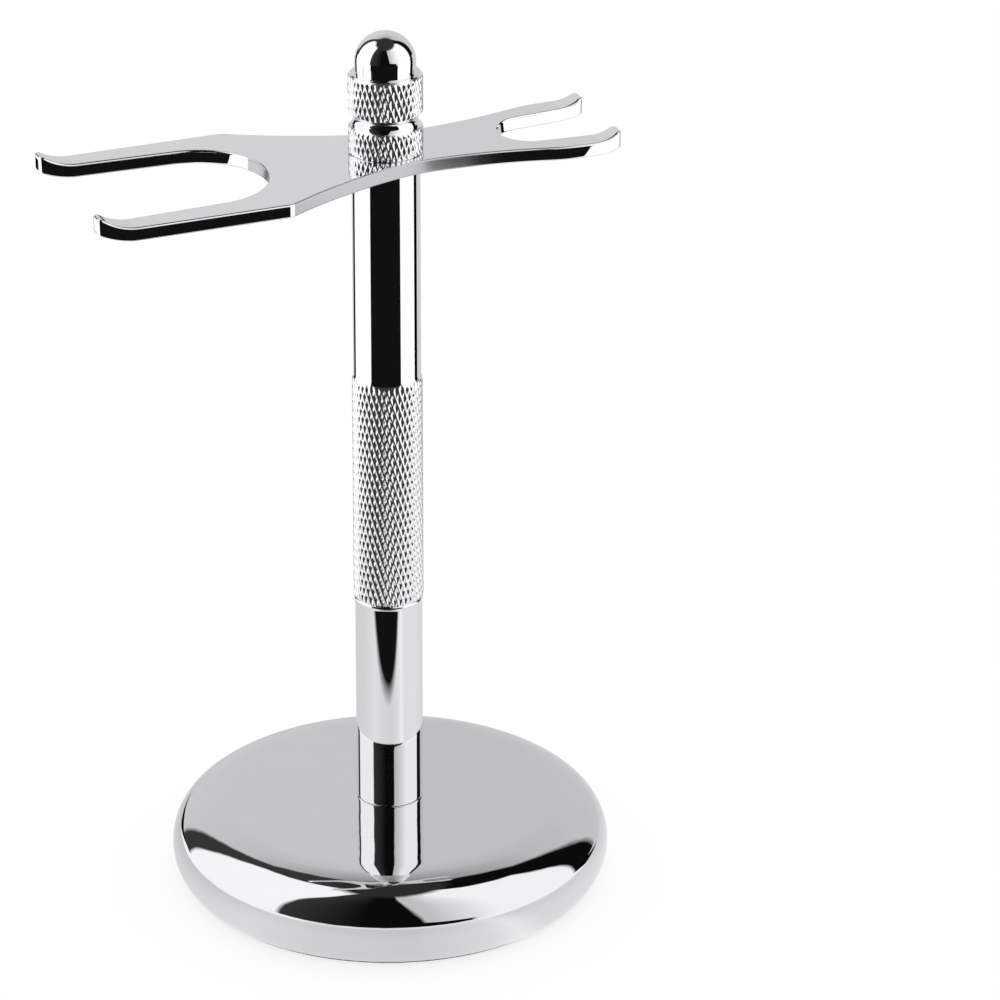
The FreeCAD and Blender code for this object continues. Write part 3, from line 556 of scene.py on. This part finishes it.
# ---------------------------------------------------------------- fork plate
# A cast plate with a wide slot for a brush and a narrow one for a razor, its edges rounded and its
# four tips curled up, polished and chrome plated. Half of it is worked out and mirrored.
plate_low, plate_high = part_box("fork_plate")
PLATE_UNDER, PLATE_THICKNESS, EDGE_RADIUS = plate_low.z / MM, 2.4, 0.4
PLATE_TOP = PLATE_UNDER + PLATE_THICKNESS
BRUSH_TIP, RAZOR_TIP, BRUSH_HALF = -plate_low.x / MM, plate_high.x / MM, plate_high.y / MM
WAIST_X, WAIST_HALF, WAIST_RADIUS, WAIST_TURN = 5.5, 6.95, 22.0, np.radians(15.0)
BRUSH_FLANK, BRUSH_SHOULDER, TAPER_LENGTH, TAPER_RADIUS = 90.0, 2.0, 8.0, 32.0
RAZOR_HALF, RAZOR_SHOULDER, RAZOR_SETBACK = 10.5, 27.0, 6.0
TIP_CORNER, CORNER_STEPS, BORE_RADIUS = 1.0, 16, 4.05
# each side's slot centre, half gap, flare and tip, and its curl's tip, length and two rises
SLOTS = {-1: (33.3, 12.0, np.radians(2.6), BRUSH_TIP), 1: (25.8, 5.6, np.radians(5.0), RAZOR_TIP)}
CURLS = {-1: (BRUSH_TIP, 6.5, 2.35, 1.5), 1: (RAZOR_TIP, 4.5, 1.7, 0.7)}
TOP, UNDER = 2, 3                      # the columns of CURLS that hold each face's rise


def curl(x, column):
    """Height and slope that the curls add at x: flat, then an arc tangent to the flat, at each end.
    column picks the rise of the top face (TOP) or of the underside (UNDER)."""
    lift, slope = np.zeros_like(x), np.zeros_like(x)
    for side, facts in CURLS.items():
        (tip, length), rise = facts[:2], facts[column]
        radius = (length ** 2 + rise ** 2) / (2 * rise)
        along = np.clip(side * x - (tip - length), 0, length)
        lift += radius - np.sqrt(radius ** 2 - along ** 2)
        slope += side * along / np.sqrt(radius ** 2 - along ** 2)
    return lift, slope


def outer_edge():
    """The outer edge from the brush tip's end face to the razor tip's, as densely spaced points."""
    turn_x = WAIST_X - WAIST_RADIUS * np.sin(WAIST_TURN)
    turn_y = WAIST_HALF + WAIST_RADIUS * (1 - np.cos(WAIST_TURN))
    flank = (turn_x + BRUSH_FLANK * np.sin(WAIST_TURN), turn_y + BRUSH_FLANK * np.cos(WAIST_TURN))
    corner_y = BRUSH_HALF - BRUSH_SHOULDER
    span = BRUSH_FLANK + BRUSH_SHOULDER
    corner_x = flank[0] - np.sqrt(span ** 2 - (flank[1] - corner_y) ** 2)
    join_angle = np.degrees(np.arctan2(corner_y - flank[1], corner_x - flank[0]))
    taper_x = TAPER_LENGTH - BRUSH_TIP
    taper = (taper_x, BRUSH_HALF - TAPER_RADIUS)
    taper_end = np.degrees(np.arcsin(TAPER_LENGTH / TAPER_RADIUS))
    widening = RAZOR_HALF - WAIST_HALF
    run = RAZOR_TIP - RAZOR_SETBACK - WAIST_X
    reach = (run ** 2 + widening ** 2) / (2 * widening)
    flank_radius = reach - RAZOR_SHOULDER
    rise_angle = np.degrees(np.arcsin(run / reach))
    razor = (RAZOR_TIP - RAZOR_SETBACK, RAZOR_HALF - RAZOR_SHOULDER)
    setback = np.degrees(np.arcsin(RAZOR_SETBACK / RAZOR_SHOULDER))
    return np.vstack([
        arc(taper, TAPER_RADIUS, 90 + taper_end, 90, 60),
        arc((corner_x, corner_y), BRUSH_SHOULDER, 90, join_angle + 180, 30),
        arc(flank, BRUSH_FLANK, join_angle, -90 - np.degrees(WAIST_TURN), 160),
        arc((WAIST_X, WAIST_HALF + WAIST_RADIUS), WAIST_RADIUS, -90 - np.degrees(WAIST_TURN), -90, 60)[1:],
        arc((WAIST_X, WAIST_HALF + flank_radius), flank_radius, -90, -90 + rise_angle, 140)[1:],
        arc(razor, RAZOR_SHOULDER, 90 + rise_angle, 90 - setback, 100)[1:]])


def rounded_corner(corner, before, after, radius):
    """Arc of the given radius between two straight runs that meet at a corner."""
    one = (before - corner) / np.linalg.norm(before - corner)
    two = (after - corner) / np.linalg.norm(after - corner)
    half = np.arccos(np.clip(one @ two, -1, 1)) / 2
    middle = corner + (one + two) / np.linalg.norm(one + two) * radius / np.sin(half)
    start, end = corner + one * radius / np.tan(half), corner + two * radius / np.tan(half)
    first, last = start - middle, end - middle
    turn = np.arctan2(first[0] * last[1] - first[1] * last[0], first @ last)
    steps = turn * np.linspace(0, 1, CORNER_STEPS)[:, None]
    return middle + np.hstack([first[0] * np.cos(steps) - first[1] * np.sin(steps),
                               first[0] * np.sin(steps) + first[1] * np.cos(steps)])


SLOT_STEPS, TIP_AHEAD = 90, 4          # points round a slot's bottom, and along the edge past a corner


def slot_edge(side):
    """A slot's edge from the tip's end face to its round bottom on the X axis."""
    centre, half, flare, tip = SLOTS[side]
    touch = np.array([centre - half * np.sin(flare), half * np.cos(flare)])
    mouth = np.array([tip, touch[1] + (tip - touch[0]) * np.tan(flare)])
    bottom = arc((centre, 0), half, np.degrees(np.pi / 2 + flare), 180, SLOT_STEPS)
    points = np.vstack([mouth, touch, bottom[1:]])
    return points * np.array([side, 1.0])


def spaced(points, count, bunch=0.0):
    """The same line as count points, evenly spaced, or closer together at its start."""
    length = np.r_[0, np.cumsum(np.linalg.norm(np.diff(points, axis=0), axis=1))]
    share = np.linspace(0, 1, count)
    share = (1 - bunch) * share + bunch * share ** 2
    return np.stack([np.interp(share * length[-1], length, points[:, i]) for i in (0, 1)], axis=1)


def cut_at(points, x):
    """Splits a line of points, in order of x, where it reaches x."""
    place = np.argmax(points[:, 0] >= x)
    before, after = points[place - 1], points[place]
    share = (x - before[0]) / (after[0] - before[0])
    meet = before + (after - before) * share
    return np.vstack([points[:place], meet]), np.vstack([meet, points[place:]])


def tip_runs(side, outer_start):
    """Outer and slot-side lines of one prong, both starting at the middle of its end face."""
    slot = slot_edge(side)
    middle = (outer_start[0] + slot[0]) / 2
    outer_arc = rounded_corner(outer_start[0], middle, outer_start[TIP_AHEAD], TIP_CORNER)
    slot_arc = rounded_corner(slot[0], middle, slot[1], TIP_CORNER)
    passed = np.abs(outer_start[:, 0] - outer_start[0, 0]) > abs(outer_arc[-1, 0] - outer_start[0, 0])
    return np.vstack([middle, outer_arc, outer_start[passed]]), np.vstack([middle, slot_arc, slot[1:]])


def stretches(points, cuts):
    """The line cut at each x in turn, without what lies past the last cut."""
    parts = []
    for cut in cuts:
        part, points = cut_at(points, cut)
        parts.append(part)
    return parts


PRONG_POINTS, THROAT_POINTS, NECK_POINTS, BORE_POINTS, TIP_BUNCH = 90, 50, 24, 40, 0.75
# the outer edge is cut where each stretch of the inner line begins, so that cross lines stay square
OUTER_CUTS, RAZOR_CUTS, FLIP_X = (-32.8, -17.0, -4.6, 4.6, 17.0), (-25.3, -17.0), np.array([-1.0, 1.0])
edge = outer_edge()
brush_outer, brush_slot = tip_runs(-1, edge)
razor_outer, razor_slot = tip_runs(1, edge[::-1])
razor_parts = [part[::-1] * FLIP_X for part in stretches(razor_outer * FLIP_X, RAZOR_CUTS)]
outer_parts = stretches(brush_outer, OUTER_CUTS) + razor_parts[::-1]


def slot_halves(slot):
    """A slot-side line cut at the start of its round bottom."""
    straight = len(slot) - SLOT_STEPS + 1
    return slot[:straight], slot[straight - 1:]


brush_side, brush_round = slot_halves(brush_slot)
razor_side, razor_round = slot_halves(razor_slot)
bore = arc((0, 0), BORE_RADIUS, 180, 0, 90)
inner_parts = [brush_side, brush_round, np.array([brush_round[-1], bore[0]]), bore,
               np.array([bore[-1], razor_round[-1]]), razor_round[::-1], razor_side[::-1]]
counts = [PRONG_POINTS, THROAT_POINTS, NECK_POINTS, BORE_POINTS, NECK_POINTS, THROAT_POINTS, PRONG_POINTS]


def joined(parts):
    """One line from several that follow each other, each with its own number of points. The prongs'
    points are closer together at their tips."""
    lines = []
    for number, (part, count) in enumerate(zip(parts, counts)):
        if number == 0:
            points = spaced(part, count, TIP_BUNCH)
        elif number == len(parts) - 1:
            points = spaced(part[::-1], count, TIP_BUNCH)[::-1]
        else:
            points = spaced(part, count)
        lines.append(points if number == 0 else points[1:])
    return np.vstack(lines)


def outward(line):
    """Unit normals to the left of the way along a line."""
    along = np.gradient(line, axis=0)
    along /= np.linalg.norm(along, axis=1, keepdims=True)
    return np.stack([-along[:, 1], along[:, 0]], axis=1)


ROUND_STEPS = 7                        # rows round each edge


def rim(line, normal):
    """The rounded edge, wall and lower rounded edge at each point of a line, as rows of points. Each
    rounding is an arc of EDGE_RADIUS, tangent to the wall and to the curled face."""
    rows = []
    for column, level, sign in ((TOP, PLATE_TOP, 1), (UNDER, PLATE_UNDER, -1)):
        lift, slope = curl(line[:, 0], column)
        tilt = np.arctan(slope * normal[:, 0]) * sign
        centre = level + lift - sign * EDGE_RADIUS * (np.tan(tilt) + 1 / np.cos(tilt))
        for share in np.linspace(1, 0, ROUND_STEPS):
            turn = share * (np.pi / 2 + tilt)
            flat = line + normal * (EDGE_RADIUS * (np.cos(turn) - 1))[:, None]
            rows.append(np.column_stack([flat, centre + sign * EDGE_RADIUS * np.sin(turn)]))
    return np.array(rows[:ROUND_STEPS] + rows[ROUND_STEPS:][::-1])


outer_line, inner_line = joined(outer_parts), joined(inner_parts)
outer_normal, inner_normal = outward(outer_line), -outward(inner_line)
for normal in (outer_normal, inner_normal):
    normal[0], normal[-1] = (-1, 0), (1, 0)
slot_end = PRONG_POINTS + THROAT_POINTS - 2
razor_begin = len(inner_line) - slot_end - 1
inner_normal[slot_end], inner_normal[razor_begin] = (-1, 0), (1, 0)
outer_rim, inner_rim = rim(outer_line, outer_normal), rim(inner_line, inner_normal)
# where the rows across a face lie, from the inner line to the outer one
ACROSS = np.array([0, 0.02, 0.12, 0.3, 0.5, 0.7, 0.88, 0.98, 1])[:, None, None]


def face(column, level, row):
    """A flat face with curled ends: straight across from the inner line to the outer one, at the
    height of the curl there. row picks the rim's first or last row, which it joins."""
    inner, outer = inner_rim[row].copy(), outer_rim[row]
    inner[slot_end + 1:razor_begin, :2] = inner_line[slot_end + 1:razor_begin]
    # the stretch along the X axis starts where the rounded edge of each slot's bottom ends
    for stretch, start, end in ((slice(slot_end, slot_end + NECK_POINTS), inner[slot_end, 0], -BORE_RADIUS),
                                (slice(razor_begin - NECK_POINTS + 1, razor_begin + 1), BORE_RADIUS,
                                 inner[razor_begin, 0])):
        inner[stretch, 0] = np.linspace(start, end, NECK_POINTS)
        inner[stretch, 1] = 0
    points = inner + (outer - inner) * ACROSS
    points[1:-1, :, 2] = level + curl(points[1:-1, :, 0], column)[0]
    points[0, slot_end + 1:razor_begin, 2] = level
    return points


top_face, under_face = face(TOP, PLATE_TOP, 0), face(UNDER, PLATE_UNDER, -1)
bore_rows = slice(slot_end + NECK_POINTS - 1, razor_begin - NECK_POINTS + 2)
bore_wall = np.array([top_face[0, bore_rows], under_face[0, bore_rows]])
halves = []
for mirror in (1, -1):
    flip = np.array([1, mirror, 1]) * MM
    halves += [(top_face * flip, False, False, mirror < 0), (under_face * flip, False, False, mirror > 0),
               (outer_rim * flip, False, False, mirror < 0),
               (inner_rim[:, :slot_end + 1] * flip, False, False, mirror > 0),
               (inner_rim[:, razor_begin:] * flip, False, False, mirror > 0),
               (bore_wall * flip, False, False, mirror > 0)]
plate = skin("double_fork", halves, sharp=50.0)


# where the waist walls are less polished and their colour is darkened as painted shade
DULL_SHADE_FROM, DULL_SHADE_TO, DULL_SHADE_FADE = -22.4, 15.0, 7.0       # along X
DULL_SHADE_ABOVE_UNDER, DULL_SHADE_BELOW_TOP = 0.05, 0.12


def dull_and_shaded_waist(shader, place):
    """The hand-finished walls of the waist, between the two faces: less polished, and darkened in colour as
    painted shade.
    """
    x, _, z = shader.split(place)
    along = (x / MM > DULL_SHADE_FROM) * (1 - soft(shader, x / MM, DULL_SHADE_TO, DULL_SHADE_FADE))
    return along * between(z / MM, PLATE_UNDER + DULL_SHADE_ABOVE_UNDER, PLATE_TOP - DULL_SHADE_BELOW_TOP)


plate.data.materials.append(chrome("chrome_fork", tone=0.91, satin_and_shade=dull_and_shaded_waist))
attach(plate, "fork")
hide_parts("fork_plate")


# ---------------------------------------------------------------- knob
# A brass knob turned from bar: two knurled rings with a smooth hollow neck between them, under a
# polished dome, chrome plated, with a recess underneath for its nylon washer.
knob_low, knob_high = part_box("finial_knob")
KNOB_BOTTOM, KNOB_TOP, RING_RADIUS = knob_low.z / MM, knob_high.z / MM, knob_high.x / MM
RING_CHAMFER, RIM_CHAMFER, NECK_DEPTH, DOME_STEP = 0.55, 0.08, 0.32, 0.58
LOWER_RING, NECK_HEIGHT, UPPER_RING, RING_STARTS = 4.6, 1.9, 7.1, 39
RECESS_RADIUS, RECESS_DEPTH, STUD_RADIUS, STUD_TOP = 5.3, 0.5, 2.45, 145.95

BEVEL_POINTS = (0.2, 0.36)             # how far inside the crests the rings' bevels have points
SKIRT = KNOB_BOTTOM - 0.07             # the rim closes most of the gap above the plate
DOME_FOOT, DOME_ROW_STEP, GROOVE_STEPS, DOME_STEPS = (0.04, 0.05), 0.7, 14, 44
ZONE_INSET = 0.1                       # how far inside a ring's ends its knurl stops
ring_small = RING_RADIUS - RING_CHAMFER
dome_radius = ring_small - DOME_STEP
ring_one_top = KNOB_BOTTOM + LOWER_RING
ring_two_low = ring_one_top + NECK_HEIGHT
ring_two_top = ring_two_low + UPPER_RING
groove = (NECK_DEPTH ** 2 + NECK_HEIGHT ** 2 / 4) / (2 * NECK_DEPTH)
groove_half = np.degrees(np.arcsin(NECK_HEIGHT / 2 / groove))


def bevel(edge, way):
    """Two points on a knurled ring's bevel: way is 1 at its top edge and -1 at its bottom one."""
    return [(RING_RADIUS - inset, edge - way * (RING_CHAMFER - inset)) for inset in BEVEL_POINTS[::way]]


knob_section = np.vstack([
    [(0, STUD_TOP), (STUD_RADIUS, STUD_TOP), (STUD_RADIUS, KNOB_BOTTOM + RECESS_DEPTH),
     (RECESS_RADIUS, KNOB_BOTTOM + RECESS_DEPTH), (RECESS_RADIUS, SKIRT),
     (RING_RADIUS - RIM_CHAMFER, SKIRT)],
    upright(RING_RADIUS, SKIRT + RIM_CHAMFER, ring_one_top - RING_CHAMFER, knurl_step),
    bevel(ring_one_top, 1),
    arc((ring_small + groove - NECK_DEPTH, (ring_one_top + ring_two_low) / 2), groove,
        180 + groove_half, 180 - groove_half, GROOVE_STEPS),
    bevel(ring_two_low, -1),
    upright(RING_RADIUS, ring_two_low + RING_CHAMFER, ring_two_top - RING_CHAMFER, knurl_step),
    bevel(ring_two_top, 1),
    [(ring_small, ring_two_top), (dome_radius + DOME_FOOT[0], ring_two_top),
     (dome_radius, ring_two_top + DOME_FOOT[1])],
    upright(dome_radius, ring_two_top + 0.3, KNOB_TOP - dome_radius - 0.2, DOME_ROW_STEP),
    arc((0, KNOB_TOP - dome_radius), dome_radius, 0, 90, DOME_STEPS)])
ring_zones = [(SKIRT + ZONE_INSET, ring_one_top), (ring_two_low, ring_two_top - ZONE_INSET)]
knob = knurled("finial", knob_section, RING_STARTS, RING_RADIUS, ring_zones)
knob.data.materials.append(chrome("chrome_knob", knurled=True))
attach(knob, "knob")
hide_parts("finial_knob")


# ---------------------------------------------------------------- stud
# Threaded steel stud fixed in the knob: M5 with a 0.8 mm pitch, its ends chamfered, zinc plated.
def zinc(name):
    """Zinc-plated steel: a satin grey with a faint warm and cool mottle and fine drawn marks."""
    material, shader, place = new_material(name)
    mottle = shader.add("TexNoise", sockets={"Vector": place, "Scale": 420.0, "Detail": 4.0})
    drawn = shader.add("TexNoise", sockets={"Vector": place, "Scale": 5200.0, "Detail": 2.0})
    tone = shader.blend(mottle, (0.50, 0.51, 0.54, 1), (0.70, 0.70, 0.68, 1))
    normal = shader.add("Bump", sockets={"Strength": 0.4, "Distance": 8e-6, "Height": drawn})
    metal = shader.add("BsdfPrincipled", sockets={"Base Color": tone, "Metallic": 1.0,
                                                 "Roughness": drawn * 0.14 + 0.24, "Normal": normal})
    shader.add("OutputMaterial", sockets={0: metal})
    return material


THREAD_PITCH, THREAD_DEPTH, STUD_CHAMFER = 0.8, 0.45, 0.5
THREAD_STEPS, STUD_COLUMNS = 8, 64
FLANK_GAIN, CREST_FLAT = 1.15, 0.08    # the V's flanks are this much steeper, after a flat crest
stud_low, stud_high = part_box("knob_stud")
stud_bottom, stud_end = stud_low.z / MM, stud_high.z / MM


def thread(turn, level, radius):
    """A right-hand screw thread: the radius falls and rises in a V as the helix phase goes round."""
    phase = level / THREAD_PITCH - turn / (2 * np.pi)
    groove_share = 1 - np.abs(2 * (phase - np.floor(phase)) - 1)
    cut = radius - THREAD_DEPTH * np.clip(groove_share * FLANK_GAIN - CREST_FLAT, 0, 1)
    return np.where(radius > STUD_RADIUS - THREAD_DEPTH, cut, radius + 0 * turn)


stud_wall = upright(STUD_RADIUS, stud_bottom + STUD_CHAMFER, stud_end - 0.05, THREAD_PITCH / THREAD_STEPS)
stud_section = np.vstack([[(0, stud_bottom), (STUD_RADIUS - STUD_CHAMFER, stud_bottom)], stud_wall,
                          [(STUD_RADIUS - STUD_CHAMFER, stud_end), (0, stud_end)]])
stud_grid = lathe(stud_section, STUD_COLUMNS, thread) * MM
stud = skin("threaded_stud", [(stud_grid, False, True, False)], sharp=28.0)
plated = zinc("zinc_plate")
stud.data.materials.append(plated)
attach(stud, "knob")
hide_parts("knob_stud")


# ---------------------------------------------------------------- base screw and washers
# Ordinary zinc-plated M5 hardware, hidden between the pad and the casting.
def recoat(node, material):
    """Gives a CAD node a material of its own."""
    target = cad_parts[node]
    target.data.materials.clear()
    target.data.materials.append(material)


for node in ("base_screw", "spring_washer", "flat_washer"):
    recoat(node, plated)


# ---------------------------------------------------------------- ballast, washer and film
# The iron ring that weights the base, the nylon washer under the knob and the pad's adhesive film.
def mottled(name, dark, light, scale, rough, relief):
    """A dull material whose colour, roughness and fine relief follow one noise."""
    material, shader, place = new_material(name)
    grain = shader.add("TexNoise", sockets={"Vector": place, "Scale": scale, "Detail": 5.0})
    tone = shader.blend(grain, (*dark, 1), (*light, 1))
    normal = shader.add("Bump", sockets={"Strength": 0.6, "Distance": relief, "Height": grain})
    body = shader.add("BsdfPrincipled", sockets={"Base Color": tone, "Roughness": grain * 0.15 + rough,
                                                "Normal": normal})
    shader.add("OutputMaterial", sockets={0: body})
    return material


recoat("ballast_ring", mottled("cast_iron", (0.06, 0.06, 0.065), (0.16, 0.155, 0.15), 900.0, 0.55, 6e-5))
recoat("knob_washer", mottled("nylon", (0.80, 0.79, 0.74), (0.90, 0.89, 0.85), 600.0, 0.38, 1e-5))
recoat("pad_adhesive", mottled("film", (0.72, 0.70, 0.64), (0.84, 0.82, 0.76), 500.0, 0.30, 8e-6))


# ---------------------------------------------------------------- foam pad
# A disc of dark closed-cell foam die-cut to shape, stuck in the seat under the base. Its cut edge is
# slightly rounded and its skin is pitted all over by the foam's cells.
_, pad_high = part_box("foam_pad")
PAD_RADIUS, PAD_THICKNESS = pad_high.x / MM, pad_high.z / MM
PAD_EDGE, CELL_DEPTH, PAD_COLUMNS = 0.5, 0.05, 360
UNDERSIDE_ROWS, FIRST_ROW, LAST_GAP, EDGE_STEPS = 92, 0.6, 0.3, 8
CALM_RADIUS, BACK_CHAMFER, CELL_SEED = 12.0, 0.15, 11
underside = np.linspace(FIRST_ROW, PAD_RADIUS - PAD_EDGE - LAST_GAP, UNDERSIDE_ROWS)
pad_section = np.vstack([
    [(0, 0)], np.stack([underside, np.zeros(UNDERSIDE_ROWS)], axis=1),
    arc((PAD_RADIUS - PAD_EDGE, PAD_EDGE), PAD_EDGE, -90, 0, EDGE_STEPS),
    [(PAD_RADIUS, PAD_THICKNESS - BACK_CHAMFER), (PAD_RADIUS - BACK_CHAMFER, PAD_THICKNESS),
     (PAD_RADIUS * 0.5, PAD_THICKNESS), (0, PAD_THICKNESS)]])


def pitted_pad():
    """The section turned about Z, with each point of its underside raised by the depth of a cell times
    a cubed random number. The cells fade out towards the centre, where the rows' points crowd."""
    grid = lathe(pad_section, PAD_COLUMNS)
    radius, level = pad_section[:, 0:1], pad_section[:, 1:2]
    cells = np.random.default_rng(CELL_SEED).random(grid.shape[:2]) ** 3
    grown = np.clip(radius / CALM_RADIUS, 0, 1)
    grid[:, :, 2] += CELL_DEPTH * cells * grown * (level < PAD_EDGE) * (radius > 0)
    return grid * MM


pad = skin("foam_disc", [(pitted_pad(), False, True, False)])

foam, shader, place = new_material("closed_cell_foam")
cloud = shader.add("TexNoise", sockets={"Vector": place, "Scale": 260.0, "Detail": 6.0})
bubbles = shader.add("TexVoronoi", sockets={"Vector": place, "Scale": 2400.0})
tone = shader.blend(cloud * 0.6 + bubbles * 0.5, (0.016, 0.014, 0.013, 1), (0.042, 0.037, 0.033, 1))
normal = shader.add("Bump", sockets={"Strength": 0.7, "Distance": 9e-5, "Height": bubbles})
body = shader.add("BsdfPrincipled", sockets={"Base Color": tone, "Roughness": bubbles * 0.1 + 0.82,
                                            "Normal": normal})
shader.add("OutputMaterial", sockets={0: body})
pad.data.materials.append(foam)
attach(pad, "stand")
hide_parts("foam_pad")
